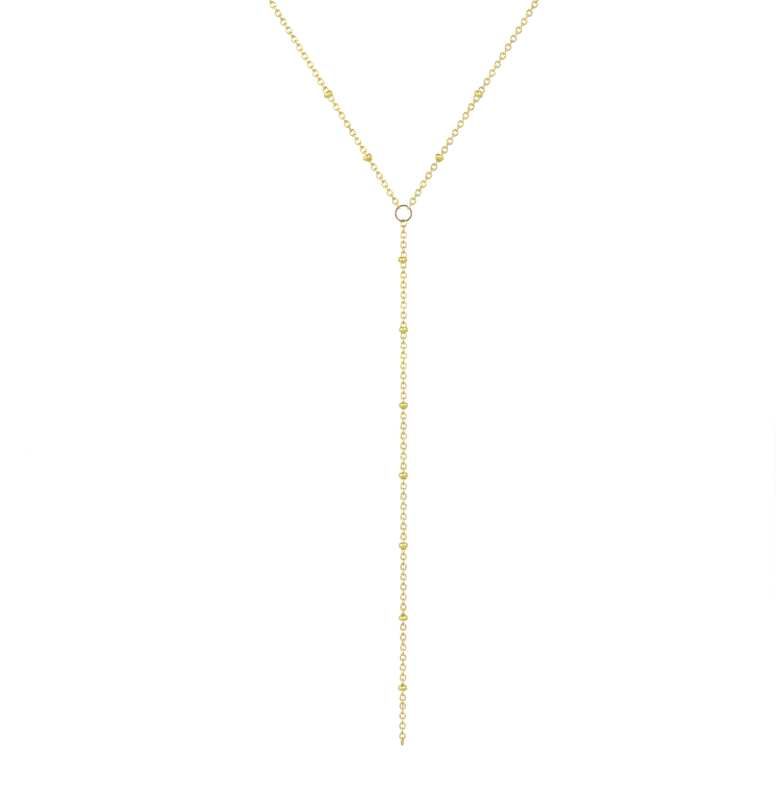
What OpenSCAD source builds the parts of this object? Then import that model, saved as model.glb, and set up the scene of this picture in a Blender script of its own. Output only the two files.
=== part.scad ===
// Y necklace: a fine cable chain with small beads, gathered into a V by a round ring,
// and a long straight drop of the same chain below the ring.
// It has the form it takes when it is worn. X runs to the right as seen from the front,
// Y to the back and Z up. The origin is at the nape, where the chain rests on the neck.

/* [Ring] */
// Outside diameter of the ring where the two arms and the drop meet
ring_d = 4; // [3.9:0.05:4.4]
// Thickness of the ring's wire
ring_wire = 0.4; // [0.34:0.02:0.4]

/* [Chain] */
// Distance from the middle of one link to the middle of the next
link_pitch = 1.148; // [1.14:0.002:1.16]
// Width of a link
link_w = 1.5; // [1.45:0.01:1.55]
// Thickness of a link's wire
link_wire = 0.36; // [0.32:0.005:0.36]
// Clear space between two links where one hooks the other
play = 0.1; // [0.1:0.005:0.12]

/* [Beads] */
// Diameter of a bead
bead_d = 2.2; // [2.1:0.01:2.3]
// Diameter of a bead's hole at its waist
bead_hole = 1.28; // [1.28:0.01:1.34]
// Diameter of a bead's hole at its two ends
bead_mouth = 1.64; // [1.64:0.01:1.7]
// Height of a bead along the chain
bead_h = 1.2; // [1.15:0.01:1.25]

/* [Arms] */
// Angle of each arm away from the vertical
arm_angle = 32; // [31.5:0.1:32.5]
// Links in the straight part of each arm
arm_links = 71; // [50:1:71]

/* [Drop] */
// Small links in the drop
drop_links = 103; // [100:1:103]
// Distance from the middle of the ring to the middle of the drop's first small link
drop_start = 3.767; // [3.7:0.01:3.85]
// Width of the larger link that hangs the drop on the ring
hook_w = 1.9; // [1.9:0.01:2]
// Thickness of the larger link's wire
hook_wire = 0.32; // [0.28:0.01:0.32]
// Turn of that larger link away from the plane of the ring
hook_turn = 38; // [37:1:39]
// Clear space between that larger link's top end and the ring's wire
hook_ring_play = 0.34; // [0.34:0.01:0.4]
// Clear space between its lower end and the first small link
hook_link_play = 0.28; // [0.28:0.01:0.36]

/* [Clasp] */
// Outside diameter of the clasp's ring
clasp_d = 5; // [4.8:0.1:5.4]
// Thickness of the clasp's ring
clasp_wire = 0.7; // [0.6:0.05:0.8]
// Outside diameter of the loop at the clasp's end
loop_d = 1.9; // [1.8:0.05:2]
// Thickness of the loop's wire
loop_wire = 0.4; // [0.3:0.05:0.45]

/* [Hidden] */

// Smoothness of round shapes
$fn = 48;

// Middle of the ring, below and in front of the nape
ring_at = [0, -85, -130];
// Middle line of the chain at the nape, behind the neck
nape_at = [0, 0.75, 0];

// Small links that carry a bead, counted from 0 at the ring
drop_beads = [6, 20, 35, 49, 63, 77, 91];
arm_beads = [11, 26];
// The bead between the upper and the lower half of the drop's chain
middle_bead = drop_beads[3];

// Route of the chain from the right arm round to the nape, behind the straight part
back_route = [
    [50.5, -82.5, -48.5], [55, -76, -39.5], [57.5, -67, -31.5], [58, -57, -25],
    [57.5, -46.5, -19], [54.5, -36, -14], [50, -25.5, -9.5], [43.5, -16.5, -6],
    [34.5, -8.5, -3], [23.5, -3, -1], [12, -0.2, -0.2]
];
// Clear space between the end of the links and the end of the plain tube
tube_gap = 0.3;
// Sides of the plain tube, and its rings from one point of the route to the next
tube_sides = 8;
tube_steps = 3;

// Length of a small link, and from its middle to the inside of its end
link_l = link_pitch + 2 * link_wire + play;
link_reach = link_l / 2 - link_wire;
// Inside radius of the ring
ring_inside = ring_d / 2 - ring_wire;
// Distance from the middle of the ring to the middle of each arm's first link
arm_start = ring_inside - play + link_reach;
// Ends of the hole in the larger link, below the middle of the ring
hook_top = ring_inside - hook_ring_play;
hook_bottom = drop_start - link_reach + hook_link_play;
hook_l = hook_bottom - hook_top + 2 * hook_wire;
// Place on the arm where the plain tube starts
tube_start = arm_start + (arm_links - 1) * link_pitch + link_l / 2 + tube_gap;
// The loop sits to the left of the clasp's ring, and both together are centred on the nape
loop_sink = 0.3;
loop_reach = clasp_d / 2 + loop_d / 2 - loop_sink;
clasp_half = (clasp_d + loop_d - loop_sink) / 2;

// Point on the straight line of the right arm, a distance away from the middle of the ring
function arm_point(s) = ring_at + s * [sin(arm_angle), 0, cos(arm_angle)];

// Points that the right tube's middle line passes. The first and the last only set its
// direction at its two ends
lead_in = 12;
tube_end = nape_at + [clasp_half + tube_gap, 0, 0];
tube_points = concat(
    [arm_point(tube_start - lead_in), arm_point(tube_start)],
    back_route,
    [tube_end, nape_at]
);

// Point on the smooth curve through p[1] and p[2], with t from 0 to 1
function curve_point(p, t) =
    ((2 * p[1]) + (p[2] - p[0]) * t
    + (2 * p[0] - 5 * p[1] + 4 * p[2] - p[3]) * t * t
    + (3 * p[1] - p[0] - 3 * p[2] + p[3]) * t * t * t) / 2;

// The whole middle line, with a number of steps from one point of the list to the next
function smooth_line(points, steps) = [
    for (i = [1 : len(points) - 3], j = [0 : steps - 1])
        curve_point([for (k = [-1 : 2]) points[i + k]], j / steps),
    points[len(points) - 2]
];

function unit(v) = v / norm(v);

// Direction of a line of points at its point i
function direction_at(line, i) =
    unit(line[min(i + 1, len(line) - 1)] - line[max(i - 1, 0)]);

// Corners of the ring round point i of a tube with diameter d
function tube_ring(line, i, d, sides) =
    let (
        along = direction_at(line, i),
        side = unit(cross(along, [0, 0, 1])),
        up = cross(side, along)
    )
    [for (k = [0 : sides - 1])
        line[i] + d / 2 * (cos(360 * k / sides) * side + sin(360 * k / sides) * up)];

// Plain round tube that stands for a stretch of chain
module tube(line, d, sides) {
    rings = len(line);
    points = [for (i = [0 : rings - 1]) each tube_ring(line, i, d, sides)];
    walls = [for (i = [0 : rings - 2], k = [0 : sides - 1])
        let (a = i * sides + k, b = i * sides + (k + 1) % sides)
        [a, a + sides, b + sides, b]];
    first_end = [for (k = [0 : sides - 1]) k];
    last_end = [for (k = [sides - 1 : -1 : 0]) (rings - 1) * sides + k];
    polyhedron(points = points, faces = concat([first_end], walls, [last_end]));
}

// Round wire ring that lies in the XZ plane
module wire_ring(d, wire) {
    rotate([90, 0, 0])
        rotate_extrude()
            translate([(d - wire) / 2, 0])
                circle(d = wire);
}

// Oval wire link that lies in the XZ plane, with its length along Z
module link(w, l, wire) {
    bend = (w - wire) / 2;
    straight = l - w;
    for (turn = [0, 180])
        rotate([0, turn, 0]) {
            translate([0, 0, straight / 2])
                rotate([90, 0, 0])
                    rotate_extrude(angle = 180)
                        translate([bend, 0])
                            circle(d = wire);
            translate([bend, 0, -straight / 2])
                cylinder(d = wire, h = straight);
        }
}

// Small link number n of a chain that starts along Z. The even ones are edge-on from the front
module small_link(n) {
    translate([0, 0, n * link_pitch])
        rotate([0, 0, n % 2 == 0 ? 90 : 0])
            link(link_w, link_l, link_wire);
}

// Radius of an arc that bulges by a depth over a half height
function bulge_radius(depth, half_height) =
    (depth * depth + half_height * half_height) / (2 * depth);

// Bead with bulging sides round the Z axis, its hole wider at both ends than at its waist
module bead() {
    outer_r = bulge_radius((bead_d - bead_mouth) / 2, bead_h / 2);
    inner_r = bulge_radius((bead_mouth - bead_hole) / 2, bead_h / 2);
    rotate_extrude()
        intersection() {
            translate([bead_d / 2 - outer_r, 0])
                circle(r = outer_r);
            translate([bead_hole / 2 + inner_r, 0])
                circle(r = inner_r);
        }
}

// Small link number n with a bead soldered round its middle
module bead_link(n) {
    small_link(n);
    translate([0, 0, n * link_pitch])
        bead();
}

// Places what is in it on the drop, with Z pointing down the drop from its first small link
module on_drop() {
    translate(ring_at - [0, 0, drop_start])
        rotate([0, 180, 0])
            children();
}

// Places what is in it on an arm, with Z pointing up the arm from its first link.
// A side of 1 is the right arm and -1 the left one
module on_arm(side) {
    translate(ring_at)
        rotate([0, side * arm_angle, 0])
            translate([0, 0, arm_start])
                children();
}

// All small links from the first to the last but those that carry a bead
module plain_links(first, last, beads) {
    for (n = [first : last])
        if (len(search(n, beads)) == 0)
            small_link(n);
}

module y_ring() {
    color("gold")
        translate(ring_at)
            wire_ring(ring_d, ring_wire);
}

// The larger link on the ring and the small links down to the middle bead
module upper_drop_chain() {
    color("gold") {
        translate(ring_at - [0, 0, (hook_top + hook_bottom) / 2])
            rotate([0, 0, hook_turn])
                link(hook_w, hook_l, hook_wire);
        on_drop()
            plain_links(0, middle_bead - 1, drop_beads);
    }
}

module lower_drop_chain() {
    color("gold")
        on_drop()
            plain_links(middle_bead + 1, drop_links - 1, drop_beads);
}

module drop_bead(i) {
    color("goldenrod")
        on_drop()
            bead_link(drop_beads[i - 1]);
}

module arm_chain(side) {
    color("gold")
        on_arm(side)
            plain_links(0, arm_links - 1, arm_beads);
}

module arm_bead(side, i) {
    color("goldenrod")
        on_arm(side)
            bead_link(arm_beads[i - 1]);
}

module right_back_chain() {
    color("gold")
        tube(smooth_line(tube_points, tube_steps), link_w, tube_sides);
}

module left_back_chain() {
    mirror([1, 0, 0])
        right_back_chain();
}

// One plain ring with a fixed loop, which joins the two ends of the chain at the nape
module clasp() {
    color("gold")
        translate(nape_at + [clasp_half - clasp_d / 2, 0, 0]) {
            wire_ring(clasp_d, clasp_wire);
            translate([-loop_reach, 0, 0])
                wire_ring(loop_d, loop_wire);
        }
}

y_ring();
upper_drop_chain();
lower_drop_chain();
arm_chain(-1);  // left_chain
arm_chain(1);  // right_chain
left_back_chain();
right_back_chain();
clasp();
drop_bead(1);  // drop_bead_1
drop_bead(2);  // drop_bead_2
drop_bead(3);  // drop_bead_3
drop_bead(4);  // drop_bead_4
drop_bead(5);  // drop_bead_5
drop_bead(6);  // drop_bead_6
drop_bead(7);  // drop_bead_7
arm_bead(-1, 1);  // left_bead_1
arm_bead(-1, 2);  // left_bead_2
arm_bead(1, 1);  // right_bead_1
arm_bead(1, 2);  // right_bead_2
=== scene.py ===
"""Looks of a Y necklace: polished gold links, beads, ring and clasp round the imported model."""
import math
import random

import bpy
import numpy as np
from mathutils import Matrix, Vector


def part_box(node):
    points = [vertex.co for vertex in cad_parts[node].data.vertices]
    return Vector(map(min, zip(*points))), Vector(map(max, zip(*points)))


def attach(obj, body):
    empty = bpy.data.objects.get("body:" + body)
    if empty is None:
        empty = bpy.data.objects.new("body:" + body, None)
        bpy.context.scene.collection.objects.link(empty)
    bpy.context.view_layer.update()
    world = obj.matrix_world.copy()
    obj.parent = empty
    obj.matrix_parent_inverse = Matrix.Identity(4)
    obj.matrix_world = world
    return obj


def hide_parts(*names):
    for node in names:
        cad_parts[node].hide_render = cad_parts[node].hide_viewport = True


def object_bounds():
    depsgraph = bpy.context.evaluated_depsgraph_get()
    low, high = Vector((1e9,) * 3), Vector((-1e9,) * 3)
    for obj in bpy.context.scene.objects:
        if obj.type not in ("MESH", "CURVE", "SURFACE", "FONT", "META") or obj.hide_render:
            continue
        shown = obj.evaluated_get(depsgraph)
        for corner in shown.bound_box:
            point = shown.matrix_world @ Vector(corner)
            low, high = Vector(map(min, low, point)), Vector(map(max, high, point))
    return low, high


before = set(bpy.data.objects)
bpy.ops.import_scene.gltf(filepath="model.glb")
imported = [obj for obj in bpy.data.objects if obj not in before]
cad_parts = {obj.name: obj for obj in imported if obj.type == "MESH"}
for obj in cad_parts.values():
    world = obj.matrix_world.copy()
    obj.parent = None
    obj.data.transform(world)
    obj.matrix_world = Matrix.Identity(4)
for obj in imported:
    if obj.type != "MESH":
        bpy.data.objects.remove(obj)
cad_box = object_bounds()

MM = 0.001

# Sizes of the photo, in its own pixels
PHOTO_W = 776
PHOTO_H = 800
RING_PX = (403.5, 213.4)
RING_SPAN_PX = 17.5

# Camera, in mm
LENS = 180
SENSOR = 36

# Places of the model
RING_LOW, RING_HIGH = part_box("y_ring")
RING_AT = (RING_LOW + RING_HIGH) / 2
RING_D = RING_HIGH.x - RING_LOW.x
RING_WIRE = RING_HIGH.y - RING_LOW.y
CLASP_LOW, CLASP_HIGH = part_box("clasp")
CLASP_AT = (CLASP_LOW + CLASP_HIGH) / 2
PX = RING_D / RING_SPAN_PX

# Small links. Neighbours are pressed into each other by a hair, so that no gap shows
WIRE = 0.36 * MM
LINK_W = 1.5 * MM
HAIR = 0.004 * MM

# Arms, by side: -1 is the left one and 1 the right one. Each passes a little beside the middle
# of the ring, and its first link is a little longer. From one link on, all sit nearer the ring
ARM_PITCH = 1.151 * MM
ARM_ANGLE = math.radians(32)
ARM_SHIFT = {-1: 0.12 * MM, 1: 0.33 * MM}
ARM_FIRST_LONGER = {-1: 0.03 * MM, 1: 0.16 * MM}
ARM_SLACK = 0.1 * MM
ARM_SLACK_LINK = 27
ARM_LINKS = 71

# Drop: its first and last small links are longer, and from one link on, all sit nearer the ring
DROP_PITCH = 1.148 * MM
DROP_START = 3.767 * MM
DROP_LINKS = 103
FIRST_LONGER = 0.2 * MM
FIRST_TURN = math.radians(8)
LAST_LONGER = 0.15 * MM
LAST_TURN = math.radians(20)
SLACK = 0.42 * MM
SLACK_LINK = 95

# The drop's lower part leans to the left, from a share of its length on
LEAN = 0.25 * MM
LEAN_FROM = 0.6

# The larger link that hangs the drop on the ring, and how far it is pressed into the ring
HOOK_W = 1.9 * MM
HOOK_WIRE = 0.36 * MM
HOOK_TURN = math.radians(43)
HOOK_SEAT = 0.05 * MM

# Random turn of a link, in degrees: its usual size and its limit
TURN_USUAL = 3
TURN_LIMIT = 8

# Links that carry a bead: the link's number, and how many mm the bead sits off the link's
# middle, away from the ring and to the right
DROP_BEADS = {
    "drop_bead_1": (6, -0.07, -0.2),
    "drop_bead_2": (20, -0.21, 0.0),
    "drop_bead_3": (35, -0.17, 0.0),
    "drop_bead_4": (49, -0.24, -0.05),
    "drop_bead_5": (63, -0.33, -0.05),
    "drop_bead_6": (77, 0.19, 0.0),
    "drop_bead_7": (91, 0.09, -0.05),
}
ARM_BEADS = {"bead_1": (11, 0.29, -0.1), "bead_2": (26, -0.03, -0.1)}
MIDDLE_BEAD = "drop_bead_4"
BEAD_D = 2.2 * MM
BEAD_HOLE = 1.28 * MM
BEAD_MOUTH = 1.6 * MM
BEAD_H = 1.2 * MM
BEAD_BULGE = 2.2

# Sizes of the clasp
CLASP_D = 5.0 * MM
CLASP_WIRE = CLASP_HIGH.y - CLASP_LOW.y
LOOP_D = 1.9 * MM
LOOP_WIRE = 0.4 * MM

# Seams: how much thicker a link's wire is where it is soldered shut, how much thinner the
# ring's is where its ends meet, and over what length
LINK_SEAM = 0.05
LINK_SEAM_LENGTH = 0.14 * MM
RING_SEAM = 0.04
RING_SEAM_LENGTH = 0.06 * MM
RING_SEAM_AT = math.radians(205)

# How finely the round shapes are cut: steps along the wire and sides round it
BEND_STEPS = 12
SIDE_STEPS = 3
WIRE_SIDES = 12
HOOK_BEND_STEPS = 14
HOOK_SIDE_STEPS = 6
RING_STEPS = 240
CLASP_STEPS = 120
RING_SIDES = 24
LOOP_STEPS = 60
LOOP_SIDES = 16
BEAD_STEPS = 64
BEAD_PROFILE = 36
SHARP_EDGE = math.radians(40)

# Route of the chain from the right arm round to the nape, in mm as in the model
BACK_ROUTE = [
    (50.5, -82.5, -48.5), (55, -76, -39.5), (57.5, -67, -31.5), (58, -57, -25),
    (57.5, -46.5, -19), (54.5, -36, -14), (50, -25.5, -9.5), (43.5, -16.5, -6),
    (34.5, -8.5, -3), (23.5, -3, -1), (12, -0.2, -0.2),
]
BACK_START = 83.73 * MM
LEAD_IN = 12 * MM

FRONT = Vector((0, -1, 0))
BACK = Vector((0, 1, 0))
DOWN = Vector((0, 0, -1))
dice = random.Random(7)


def curve_point(p, t):
    """Point on the smooth curve through p[1] and p[2]."""
    return (
        2 * p[1]
        + (p[2] - p[0]) * t
        + (2 * p[0] - 5 * p[1] + 4 * p[2] - p[3]) * t * t
        + (3 * p[1] - p[0] - 3 * p[2] + p[3]) * t * t * t
    ) / 2


class Path:
    """Middle line of one side of the chain, from the ring to the nape, by distance."""

    STEPS = 60
    LOOK_ROUND = 0.2 * MM

    def __init__(self, side):
        up_arm = Vector((side * math.sin(ARM_ANGLE), 0, math.cos(ARM_ANGLE)))
        down_side = Vector((side * math.cos(ARM_ANGLE), 0, -math.sin(ARM_ANGLE)))
        route = [Vector((side * x, y, z)) * MM for x, y, z in BACK_ROUTE]
        nape = Vector((0, CLASP_AT.y, CLASP_AT.z))
        clasp_end = nape + Vector((side * CLASP_HIGH.x, 0, 0))
        points = [RING_AT + up_arm * (BACK_START - LEAD_IN), RING_AT + up_arm * BACK_START]
        points += route + [clasp_end, nape]
        line = [RING_AT + down_side * ARM_SHIFT[side]]
        for i in range(1, len(points) - 2):
            four = points[i - 1:i + 3]
            line += [curve_point(four, j / self.STEPS) for j in range(self.STEPS)]
        line += [clasp_end, nape]
        self.line = np.array([tuple(p) for p in line])
        steps = np.linalg.norm(np.diff(self.line, axis=0), axis=1)
        self.far = np.concatenate([[0], np.cumsum(steps)])
        self.length = self.far[-1]

    def at(self, s):
        """Point at a distance along the line."""
        return Vector([np.interp(s, self.far, self.line[:, i]) for i in range(3)])

    def along(self, s):
        """Direction of the line at a distance, away from the ring."""
        ahead = self.at(min(s + self.LOOK_ROUND, self.length))
        behind = self.at(max(s - self.LOOK_ROUND, 0))
        return (ahead - behind).normalized()


def carried_normals(path, places):
    """Outward direction at each place: to the front on the arm, to the back at the nape.

    It is carried along the curve without twist, and the twist that is then missing at the
    nape is spread over the curved stretch.
    """
    normals = [FRONT.copy()]
    for a, b in zip(places, places[1:]):
        turn = path.along(a).rotation_difference(path.along(b))
        normals.append((turn @ normals[-1]).normalized())
    last = path.along(places[-1])
    flat = (BACK - last * BACK.dot(last)).normalized()
    missing = math.atan2(normals[-1].cross(flat).dot(last), normals[-1].dot(flat))
    spread = places[-1] - BACK_START
    return [
        Matrix.Rotation(missing * max(0, s - BACK_START) / spread, 3, path.along(s)) @ n
        for s, n in zip(places, normals)
    ]


def place(at, along, normal, turn):
    """Matrix that sets a link, made flat in XZ with its length along Z, on the chain."""
    across = normal.cross(along).normalized()
    basis = Matrix((across, along.cross(across), along)).transposed()
    return Matrix.Translation(at) @ (basis @ Matrix.Rotation(turn, 3, "Z")).to_4x4()


def grid_faces(rings, sides):
    """Faces of a grid that closes on itself both ways."""
    i, k = np.meshgrid(np.arange(rings), np.arange(sides), indexing="ij")
    i, k = i.ravel(), k.ravel()
    i2, k2 = (i + 1) % rings, (k + 1) % sides
    return np.stack([i * sides + k, i * sides + k2, i2 * sides + k2, i2 * sides + k], axis=1)


def wire_loop(line, radii, sides):
    """Closed round wire along a flat closed line of (x, z) points: corners and faces."""
    line = np.asarray(line)
    tangent = np.roll(line, -1, axis=0) - np.roll(line, 1, axis=0)
    tangent /= np.linalg.norm(tangent, axis=1)[:, None]
    angle = np.arange(sides) * 2 * math.pi / sides
    out = np.asarray(radii)[:, None] * np.cos(angle)
    corners = np.stack([
        line[:, :1] + out * tangent[:, 1:],
        np.asarray(radii)[:, None] * np.sin(angle),
        line[:, 1:] - out * tangent[:, :1],
    ], axis=2).reshape(-1, 3)
    return corners, grid_faces(len(line), sides)


def oval(width, length, wire, bend_steps, side_steps):
    """Middle line of an oval link, and how far each point is from its soldered seam."""
    bend = (width - wire) / 2
    half = (length - width) / 2
    line = []
    for centre, start in ((half, 0), (-half, math.pi)):
        for j in range(bend_steps):
            a = start + math.pi * j / bend_steps
            line.append((bend * math.cos(a), centre + bend * math.sin(a)))
        side = -1 if start == 0 else 1
        for j in range(side_steps):
            line.append((side * bend, -side * (half - 2 * half * j / side_steps)))
    line = np.array(line)
    return line, np.hypot(line[:, 0] - bend, line[:, 1])


def oval_link(width, length, wire=WIRE, bend_steps=BEND_STEPS, side_steps=SIDE_STEPS):
    """One link, its wire a little thicker where it is soldered shut."""
    line, from_seam = oval(width, length, wire, bend_steps, side_steps)
    seam = LINK_SEAM * np.exp(-((from_seam / LINK_SEAM_LENGTH) ** 2))
    return wire_loop(line, wire / 2 * (1 + seam), WIRE_SIDES)


def round_ring(diameter, wire, steps, sides, seam_at=None):
    """Round wire ring, with the hairline of its closed ends at an angle."""
    a = np.arange(steps) * 2 * math.pi / steps
    middle = (diameter - wire) / 2
    radii = np.full(steps, wire / 2)
    if seam_at is not None:
        off = (a - seam_at + math.pi) % (2 * math.pi) - math.pi
        radii *= 1 - RING_SEAM * np.exp(-((off * middle / RING_SEAM_LENGTH) ** 2))
    return wire_loop(np.stack([middle * np.cos(a), middle * np.sin(a)], axis=1), radii, sides)


def bead_shape():
    """Flattened bead round Z with bulging sides and a hole that is narrowest at its waist."""
    a = np.arange(BEAD_PROFILE) * 2 * math.pi / BEAD_PROFILE
    bulge = np.abs(np.cos(a)) ** BEAD_BULGE
    mouth = BEAD_MOUTH / 2
    depth = np.where(np.cos(a) > 0, BEAD_D / 2 - mouth, BEAD_HOLE / 2 - mouth)
    r = mouth + depth * bulge
    z = BEAD_H / 2 * np.sin(a)
    turn = np.arange(BEAD_STEPS) * 2 * math.pi / BEAD_STEPS
    corners = np.stack([
        np.cos(turn)[:, None] * r,
        np.sin(turn)[:, None] * r,
        np.broadcast_to(z, (BEAD_STEPS, BEAD_PROFILE)),
    ], axis=2).reshape(-1, 3)
    return corners, grid_faces(BEAD_STEPS, BEAD_PROFILE)


def set_down(shape, matrix):
    """The shape moved by a matrix."""
    corners, faces = shape
    m = np.array(matrix)
    return corners @ m[:3, :3].T + m[:3, 3], faces


def joined(shapes):
    """Several shapes as one: corners, faces, and for each corner its shape's random tone."""
    corners, faces, tones = [], [], []
    count = 0
    for points, quads in shapes:
        corners.append(points)
        faces.append(quads + count)
        tones.append(np.full(len(points), dice.random()))
        count += len(points)
    return np.concatenate(corners), np.concatenate(faces), np.concatenate(tones)


def mesh_object(name, shapes):
    """A mesh object of several closed shapes."""
    corners, faces, tones = joined(shapes)
    mesh = bpy.data.meshes.new(name)
    mesh.from_pydata(corners.tolist(), [], faces.tolist())
    mesh.attributes.new("tone", "FLOAT", "POINT").data.foreach_set("value", tones)
    mesh.polygons.foreach_set("use_smooth", [True] * len(mesh.polygons))
    obj = bpy.data.objects.new(name, mesh)
    bpy.context.scene.collection.objects.link(obj)
    return obj


def fused(name, first, second):
    """Two closed shapes united into one body."""
    body = mesh_object(name, [first])
    tool = mesh_object(name + "_tool", [second])
    fuse = body.modifiers.new("fuse", "BOOLEAN")
    fuse.operation = "UNION"
    fuse.solver = "EXACT"
    fuse.object = tool
    graph = bpy.context.evaluated_depsgraph_get()
    mesh = bpy.data.meshes.new_from_object(body.evaluated_get(graph))
    body.modifiers.clear()
    body.data = mesh
    bpy.data.objects.remove(tool)
    mesh.polygons.foreach_set("use_smooth", [True] * len(mesh.polygons))
    mesh.set_sharp_from_angle(angle=SHARP_EDGE)
    return body


def finish_piece(obj, material, slot, *nodes):
    """Gives a piece its material and its place in the model."""
    obj.data.materials.clear()
    obj.data.materials.append(material)
    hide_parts(*nodes)
    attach(obj, "root")


# Detail of the gold: how fine its tone clouds and its wear are, the link's own share in the
# tone beside the clouds' share, and how much the wear changes roughness and height
CLOUD_SCALE = 1500
CLOUD_DETAIL = 3
LINK_SHARE = 0.5
DEEP_TONE_AT = 0.2
LIGHT_TONE_AT = 0.8
WEAR_SCALE = 9000
WEAR_DETAIL = 4
LEAST_ROUGH = 0.7
MOST_ROUGH = 1.4
BUMP_STRENGTH = 0.15
BUMP_HEIGHT = 0.01 * MM


def gold_colour(nodes, links, spot, deep, light):
    """Colour between a deep and a light tone, by link and by soft clouds."""
    tone = nodes.new("ShaderNodeAttribute")
    tone.attribute_name = "tone"
    cloud = nodes.new("ShaderNodeTexNoise")
    cloud.inputs["Scale"].default_value = CLOUD_SCALE
    cloud.inputs["Detail"].default_value = CLOUD_DETAIL
    links.new(spot, cloud.inputs["Vector"])
    mix_tone = nodes.new("ShaderNodeMath")
    mix_tone.operation = "MULTIPLY_ADD"
    mix_tone.inputs[1].default_value = LINK_SHARE
    links.new(tone.outputs["Fac"], mix_tone.inputs[0])
    cloud_part = nodes.new("ShaderNodeMath")
    cloud_part.operation = "MULTIPLY"
    cloud_part.inputs[1].default_value = 1 - LINK_SHARE
    links.new(cloud.outputs["Fac"], cloud_part.inputs[0])
    links.new(cloud_part.outputs[0], mix_tone.inputs[2])
    ramp = nodes.new("ShaderNodeValToRGB")
    ramp.color_ramp.elements[0].position = DEEP_TONE_AT
    ramp.color_ramp.elements[0].color = (*deep, 1)
    ramp.color_ramp.elements[1].position = LIGHT_TONE_AT
    ramp.color_ramp.elements[1].color = (*light, 1)
    links.new(mix_tone.outputs[0], ramp.inputs["Fac"])
    return ramp.outputs["Color"]


def gold(name, deep, light, rough):
    """Polished gold with faint tone changes from link to link and fine wear."""
    material = bpy.data.materials.new(name)
    material.use_nodes = True
    nodes = material.node_tree.nodes
    links = material.node_tree.links
    shader = nodes["Principled BSDF"]
    shader.inputs["Metallic"].default_value = 1.0
    spot = nodes.new("ShaderNodeTexCoord").outputs["Object"]
    links.new(gold_colour(nodes, links, spot, deep, light), shader.inputs["Base Color"])

    wear = nodes.new("ShaderNodeTexNoise")
    wear.inputs["Scale"].default_value = WEAR_SCALE
    wear.inputs["Detail"].default_value = WEAR_DETAIL
    links.new(spot, wear.inputs["Vector"])
    rough_range = nodes.new("ShaderNodeMapRange")
    rough_range.inputs["To Min"].default_value = rough * LEAST_ROUGH
    rough_range.inputs["To Max"].default_value = rough * MOST_ROUGH
    links.new(wear.outputs["Fac"], rough_range.inputs["Value"])
    links.new(rough_range.outputs["Result"], shader.inputs["Roughness"])

    bump = nodes.new("ShaderNodeBump")
    bump.inputs["Strength"].default_value = BUMP_STRENGTH
    bump.inputs["Distance"].default_value = BUMP_HEIGHT
    links.new(wear.outputs["Fac"], bump.inputs["Height"])
    links.new(bump.outputs["Normal"], shader.inputs["Normal"])
    return material


# Each gold's deep tone, light tone and roughness
CHAIN_GOLD = gold("chain_gold", (0.82, 0.68, 0.2), (0.95, 0.82, 0.28), 0.2)
BEAD_GOLD = gold("bead_gold", (0.98, 0.78, 0.21), (1.0, 0.88, 0.29), 0.36)
# The ring's gold, which the clasp also uses, is a darkened copy of the chain's gold: its dark
# tones are painted shade, standing in for the darkness seen on the ring
RING_GOLD_PAINTED_SHADE = gold("ring_gold", (0.37, 0.29, 0.085), (0.46, 0.38, 0.122), 0.14)


def small_turn():
    """A link's slight turn away from its true place."""
    return math.radians(max(-TURN_LIMIT, min(TURN_LIMIT, dice.gauss(0, TURN_USUAL))))


def turn_of(number):
    """Turn of a link by its number. The even ones are edge-on from the front."""
    return math.pi / 2 if number % 2 == 0 else 0


def carriers(beads):
    """The beads by the number of the link that carries them."""
    return {number: (name, slide, across) for name, (number, slide, across) in beads.items()}


def bead_piece(name, node, matrix, link, slide, across):
    """A link with the bead that is soldered round it."""
    bead_at = matrix @ Matrix.Translation((0, 0, slide * MM))
    bead = set_down(bead_shape(), Matrix.Translation((across * MM, 0, 0)) @ bead_at)
    finish_piece(fused(name, set_down(link, matrix), bead), BEAD_GOLD, "bead_gold", node)


def make_ring():
    """The ring that joins the arms and the drop."""
    shape = round_ring(RING_D, RING_WIRE, RING_STEPS, RING_SIDES, RING_SEAM_AT)
    obj = mesh_object("joining_ring", [set_down(shape, Matrix.Translation(RING_AT))])
    finish_piece(obj, RING_GOLD_PAINTED_SHADE, "ring_gold", "y_ring")


def side_places(side, path):
    """How far the links' middles lie along one side, and the pitch of its hidden stretch."""
    wire_at = math.sqrt(((RING_D - RING_WIRE) / 2) ** 2 - ARM_SHIFT[side] ** 2)
    longer = ARM_FIRST_LONGER[side]
    start = wire_at - RING_WIRE / 2 + ARM_PITCH / 2 - HAIR
    places = [start + longer / 2]
    for k in range(1, ARM_LINKS):
        slack = ARM_SLACK if k >= ARM_SLACK_LINK else 0
        places.append(start + longer + k * ARM_PITCH - slack)
    last_arm = places[-1]
    if side > 0:
        end = path.length - (CLASP_HIGH.x - CLASP_WIRE + ARM_PITCH / 2)
    else:
        end = path.length - (-CLASP_LOW.x - LOOP_WIRE + ARM_PITCH / 2)
    pairs = round((end - last_arm) / ARM_PITCH / 2)
    back_pitch = (end - last_arm) / (2 * pairs)
    places += [last_arm + (k + 1) * back_pitch for k in range(2 * pairs)]
    return places, back_pitch


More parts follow.
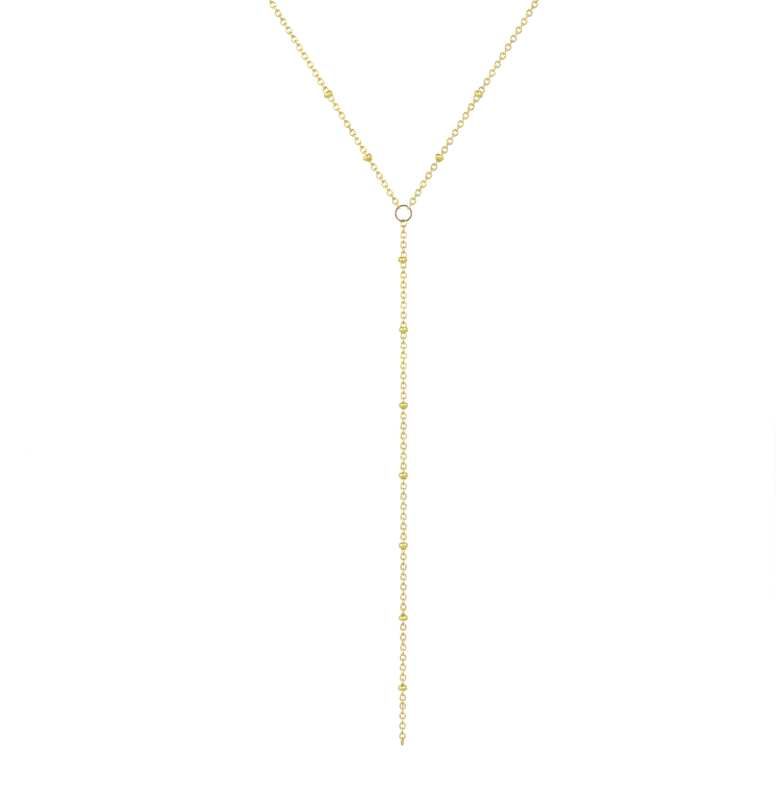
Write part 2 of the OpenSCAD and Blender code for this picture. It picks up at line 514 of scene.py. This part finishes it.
def make_side(side, word):
    """One arm and its hidden stretch round to the clasp."""
    path = Path(side)
    places, back_pitch = side_places(side, path)
    normals = carried_normals(path, places)
    first_link = oval_link(LINK_W, ARM_PITCH + ARM_FIRST_LONGER[side] + 2 * WIRE - HAIR)
    arm_link = oval_link(LINK_W, ARM_PITCH + 2 * WIRE - HAIR)
    back_link = oval_link(LINK_W, back_pitch + 2 * WIRE - HAIR)
    with_bead = carriers(ARM_BEADS)
    arm, back = [], []
    for k, (s, normal) in enumerate(zip(places, normals)):
        if k in with_bead:
            bead, slide, across = with_bead[k]
            at = place(path.at(s), path.along(s), normal, turn_of(k))
            bead_piece(f"{word}_arm_{bead}", f"{word}_{bead}", at, arm_link, slide, across)
            continue
        at = place(path.at(s), path.along(s), normal, turn_of(k) + small_turn())
        if k < ARM_LINKS:
            arm.append(set_down(first_link if k == 0 else arm_link, at))
        else:
            back.append(set_down(back_link, at))
    obj = mesh_object(f"{word}_arm_links", arm)
    finish_piece(obj, CHAIN_GOLD, "chain_gold", f"{word}_chain")
    obj = mesh_object(f"{word}_back_links", back)
    finish_piece(obj, CHAIN_GOLD, "chain_gold", f"{word}_back_chain")


def hook_link():
    """The larger link that hangs the drop on the ring."""
    top = RING_D / 2 - RING_WIRE + HOOK_SEAT
    bottom = DROP_START - DROP_PITCH / 2 - FIRST_LONGER
    length = bottom - top + 2 * HOOK_WIRE - HAIR
    shape = oval_link(HOOK_W, length, HOOK_WIRE, HOOK_BEND_STEPS, HOOK_SIDE_STEPS)
    return set_down(shape, place(RING_AT + DOWN * (top + bottom) / 2, DOWN, FRONT, HOOK_TURN))


def drop_spot(number):
    """Middle of one of the drop's small links."""
    depth = DROP_START + number * DROP_PITCH - (SLACK if number >= SLACK_LINK else 0)
    far = max(0, depth / (DROP_LINKS * DROP_PITCH) - LEAN_FROM) / (1 - LEAN_FROM)
    return RING_AT + DOWN * depth + Vector((-LEAN * far ** 2, 0, 0))


def make_drop():
    """The larger link on the ring, the small links below it and their beads."""
    upper = [hook_link()]
    lower = []
    link = oval_link(LINK_W, DROP_PITCH + 2 * WIRE - HAIR)
    first_link = oval_link(LINK_W, DROP_PITCH + FIRST_LONGER + 2 * WIRE - HAIR)
    last_link = oval_link(LINK_W, DROP_PITCH + LAST_LONGER + 2 * WIRE - HAIR)
    with_bead = carriers(DROP_BEADS)
    middle = DROP_BEADS[MIDDLE_BEAD][0]
    for n in range(DROP_LINKS):
        at = drop_spot(n)
        turn = turn_of(n)
        if n in with_bead:
            bead, slide, across = with_bead[n]
            bead_piece(bead + "_link", bead, place(at, DOWN, FRONT, turn), link, slide, across)
            continue
        if n == 0:
            at -= DOWN * FIRST_LONGER / 2
            shape = set_down(first_link, place(at, DOWN, FRONT, turn + FIRST_TURN))
        elif n == DROP_LINKS - 1:
            at += DOWN * LAST_LONGER / 2
            shape = set_down(last_link, place(at, DOWN, FRONT, turn + LAST_TURN))
        else:
            shape = set_down(link, place(at, DOWN, FRONT, turn + small_turn()))
        (upper if n < middle else lower).append(shape)
    obj = mesh_object("upper_drop_links", upper)
    finish_piece(obj, CHAIN_GOLD, "chain_gold", "upper_drop_chain")
    obj = mesh_object("lower_drop_links", lower)
    finish_piece(obj, CHAIN_GOLD, "chain_gold", "lower_drop_chain")


def make_clasp():
    """The plain ring and loop that join the two ends at the nape."""
    ring_at = Vector((CLASP_HIGH.x - CLASP_D / 2, CLASP_AT.y, CLASP_AT.z))
    loop_at = Vector((CLASP_LOW.x + LOOP_D / 2, CLASP_AT.y, CLASP_AT.z))
    ring = round_ring(CLASP_D, CLASP_WIRE, CLASP_STEPS, RING_SIDES)
    loop = round_ring(LOOP_D, LOOP_WIRE, LOOP_STEPS, LOOP_SIDES)
    ring = set_down(ring, Matrix.Translation(ring_at))
    loop = set_down(loop, Matrix.Translation(loop_at))
    finish_piece(fused("clasp_ring", ring, loop), RING_GOLD_PAINTED_SHADE, "ring_gold", "clasp")


# Floor: half its width and its depth below the necklace, in metres, and its two greys
FLOOR_HALF = 30
FLOOR_BELOW = 0.05
FLOOR_SEEN = 0.96
FLOOR_IN_GLOSS = 0.5


def make_floor():
    """Plain pale floor below the drop. Gloss sees it darker, like the rest of what is below."""
    size = FLOOR_HALF
    mesh = bpy.data.meshes.new("floor")
    corners = [(-size, -size, 0), (size, -size, 0), (size, size, 0), (-size, size, 0)]
    mesh.from_pydata(corners, [], [(0, 1, 2, 3)])
    obj = bpy.data.objects.new("floor", mesh)
    bpy.context.scene.collection.objects.link(obj)
    obj.location.z = cad_box[0].z - FLOOR_BELOW
    material = bpy.data.materials.new("floor_white")
    material.use_nodes = True
    nodes = material.node_tree.nodes
    links = material.node_tree.links
    shader = nodes["Principled BSDF"]
    light_path = nodes.new("ShaderNodeLightPath")
    shade = nodes.new("ShaderNodeMapRange")
    shade.inputs["To Min"].default_value = FLOOR_SEEN
    shade.inputs["To Max"].default_value = FLOOR_IN_GLOSS
    links.new(light_path.outputs["Is Glossy Ray"], shade.inputs["Value"])
    links.new(shade.outputs["Result"], shader.inputs["Base Color"])
    shader.inputs["Roughness"].default_value = 1.0
    shader.inputs["Specular IOR Level"].default_value = 0.0
    mesh.materials.append(material)


# What gloss sees from straight below (0) to straight above (1), and how bright the
# surroundings are for all else
TENT_GREYS = [(0.0, 0.3), (0.5, 0.9), (1.0, 0.3)]
WHITE_STRENGTH = 1.04


def make_world():
    """White surroundings. Gloss sees a bright band round the sides, darker above and below."""
    world = bpy.data.worlds.new("studio")
    bpy.context.scene.world = world
    world.use_nodes = True
    nodes = world.node_tree.nodes
    links = world.node_tree.links
    nodes.clear()
    out = nodes.new("ShaderNodeOutputWorld")
    white = nodes.new("ShaderNodeBackground")
    white.inputs["Color"].default_value = (1, 1, 1, 1)
    white.inputs["Strength"].default_value = WHITE_STRENGTH
    tent = nodes.new("ShaderNodeBackground")
    direction = nodes.new("ShaderNodeTexCoord")
    parts = nodes.new("ShaderNodeSeparateXYZ")
    links.new(direction.outputs["Generated"], parts.inputs["Vector"])
    height = nodes.new("ShaderNodeMapRange")
    height.inputs["From Min"].default_value = -1
    height.inputs["From Max"].default_value = 1
    links.new(parts.outputs["Z"], height.inputs["Value"])
    ramp = nodes.new("ShaderNodeValToRGB")
    bands = ramp.color_ramp.elements
    for at, grey in TENT_GREYS[1:-1]:
        bands.new(at)
    for band, (at, grey) in zip(bands, TENT_GREYS):
        band.position = at
        band.color = (grey, grey, grey, 1)
    links.new(height.outputs["Result"], ramp.inputs["Fac"])
    links.new(ramp.outputs["Color"], tent.inputs["Color"])
    light_path = nodes.new("ShaderNodeLightPath")
    mix = nodes.new("ShaderNodeMixShader")
    links.new(light_path.outputs["Is Glossy Ray"], mix.inputs[0])
    links.new(white.outputs[0], mix.inputs[1])
    links.new(tent.outputs[0], mix.inputs[2])
    links.new(mix.outputs[0], out.inputs["Surface"])


# Soft lights: name, place from the ring in metres, and power in watts
LIGHTS = [("key", (0.5, -0.9, 0.6), 3), ("fill", (-0.8, -0.6, 0.2), 2)]
LIGHT_WIDTH = 0.5


def make_lights():
    """Soft lights that face the ring."""
    for name, off, power in LIGHTS:
        light = bpy.data.lights.new(name, "AREA")
        light.energy = power
        light.size = LIGHT_WIDTH
        obj = bpy.data.objects.new(name, light)
        obj.location = RING_AT + Vector(off)
        obj.rotation_mode = "QUATERNION"
        obj.rotation_quaternion = (-Vector(off)).to_track_quat("-Z", "Y")
        bpy.context.scene.collection.objects.link(obj)


def make_camera():
    """Level camera in front, framed as the photo is at the plane of the two arms."""
    data = bpy.data.cameras.new("camera")
    data.lens = LENS
    data.sensor_width = SENSOR
    camera = bpy.data.objects.new("camera", data)
    bpy.context.scene.collection.objects.link(camera)
    away = PHOTO_H * PX / 2 / (data.sensor_width / 2 / data.lens)
    camera.location = RING_AT + Vector((
        (PHOTO_W / 2 - RING_PX[0]) * PX,
        -away,
        (RING_PX[1] - PHOTO_H / 2) * PX,
    ))
    camera.rotation_euler = (math.pi / 2, 0, 0)
    bpy.context.scene.camera = camera


make_camera()
make_ring()
make_side(-1, "left")
make_side(1, "right")
make_drop()
make_clasp()
make_floor()
make_world()
make_lights()
bpy.context.scene.view_settings.view_transform = "Standard"
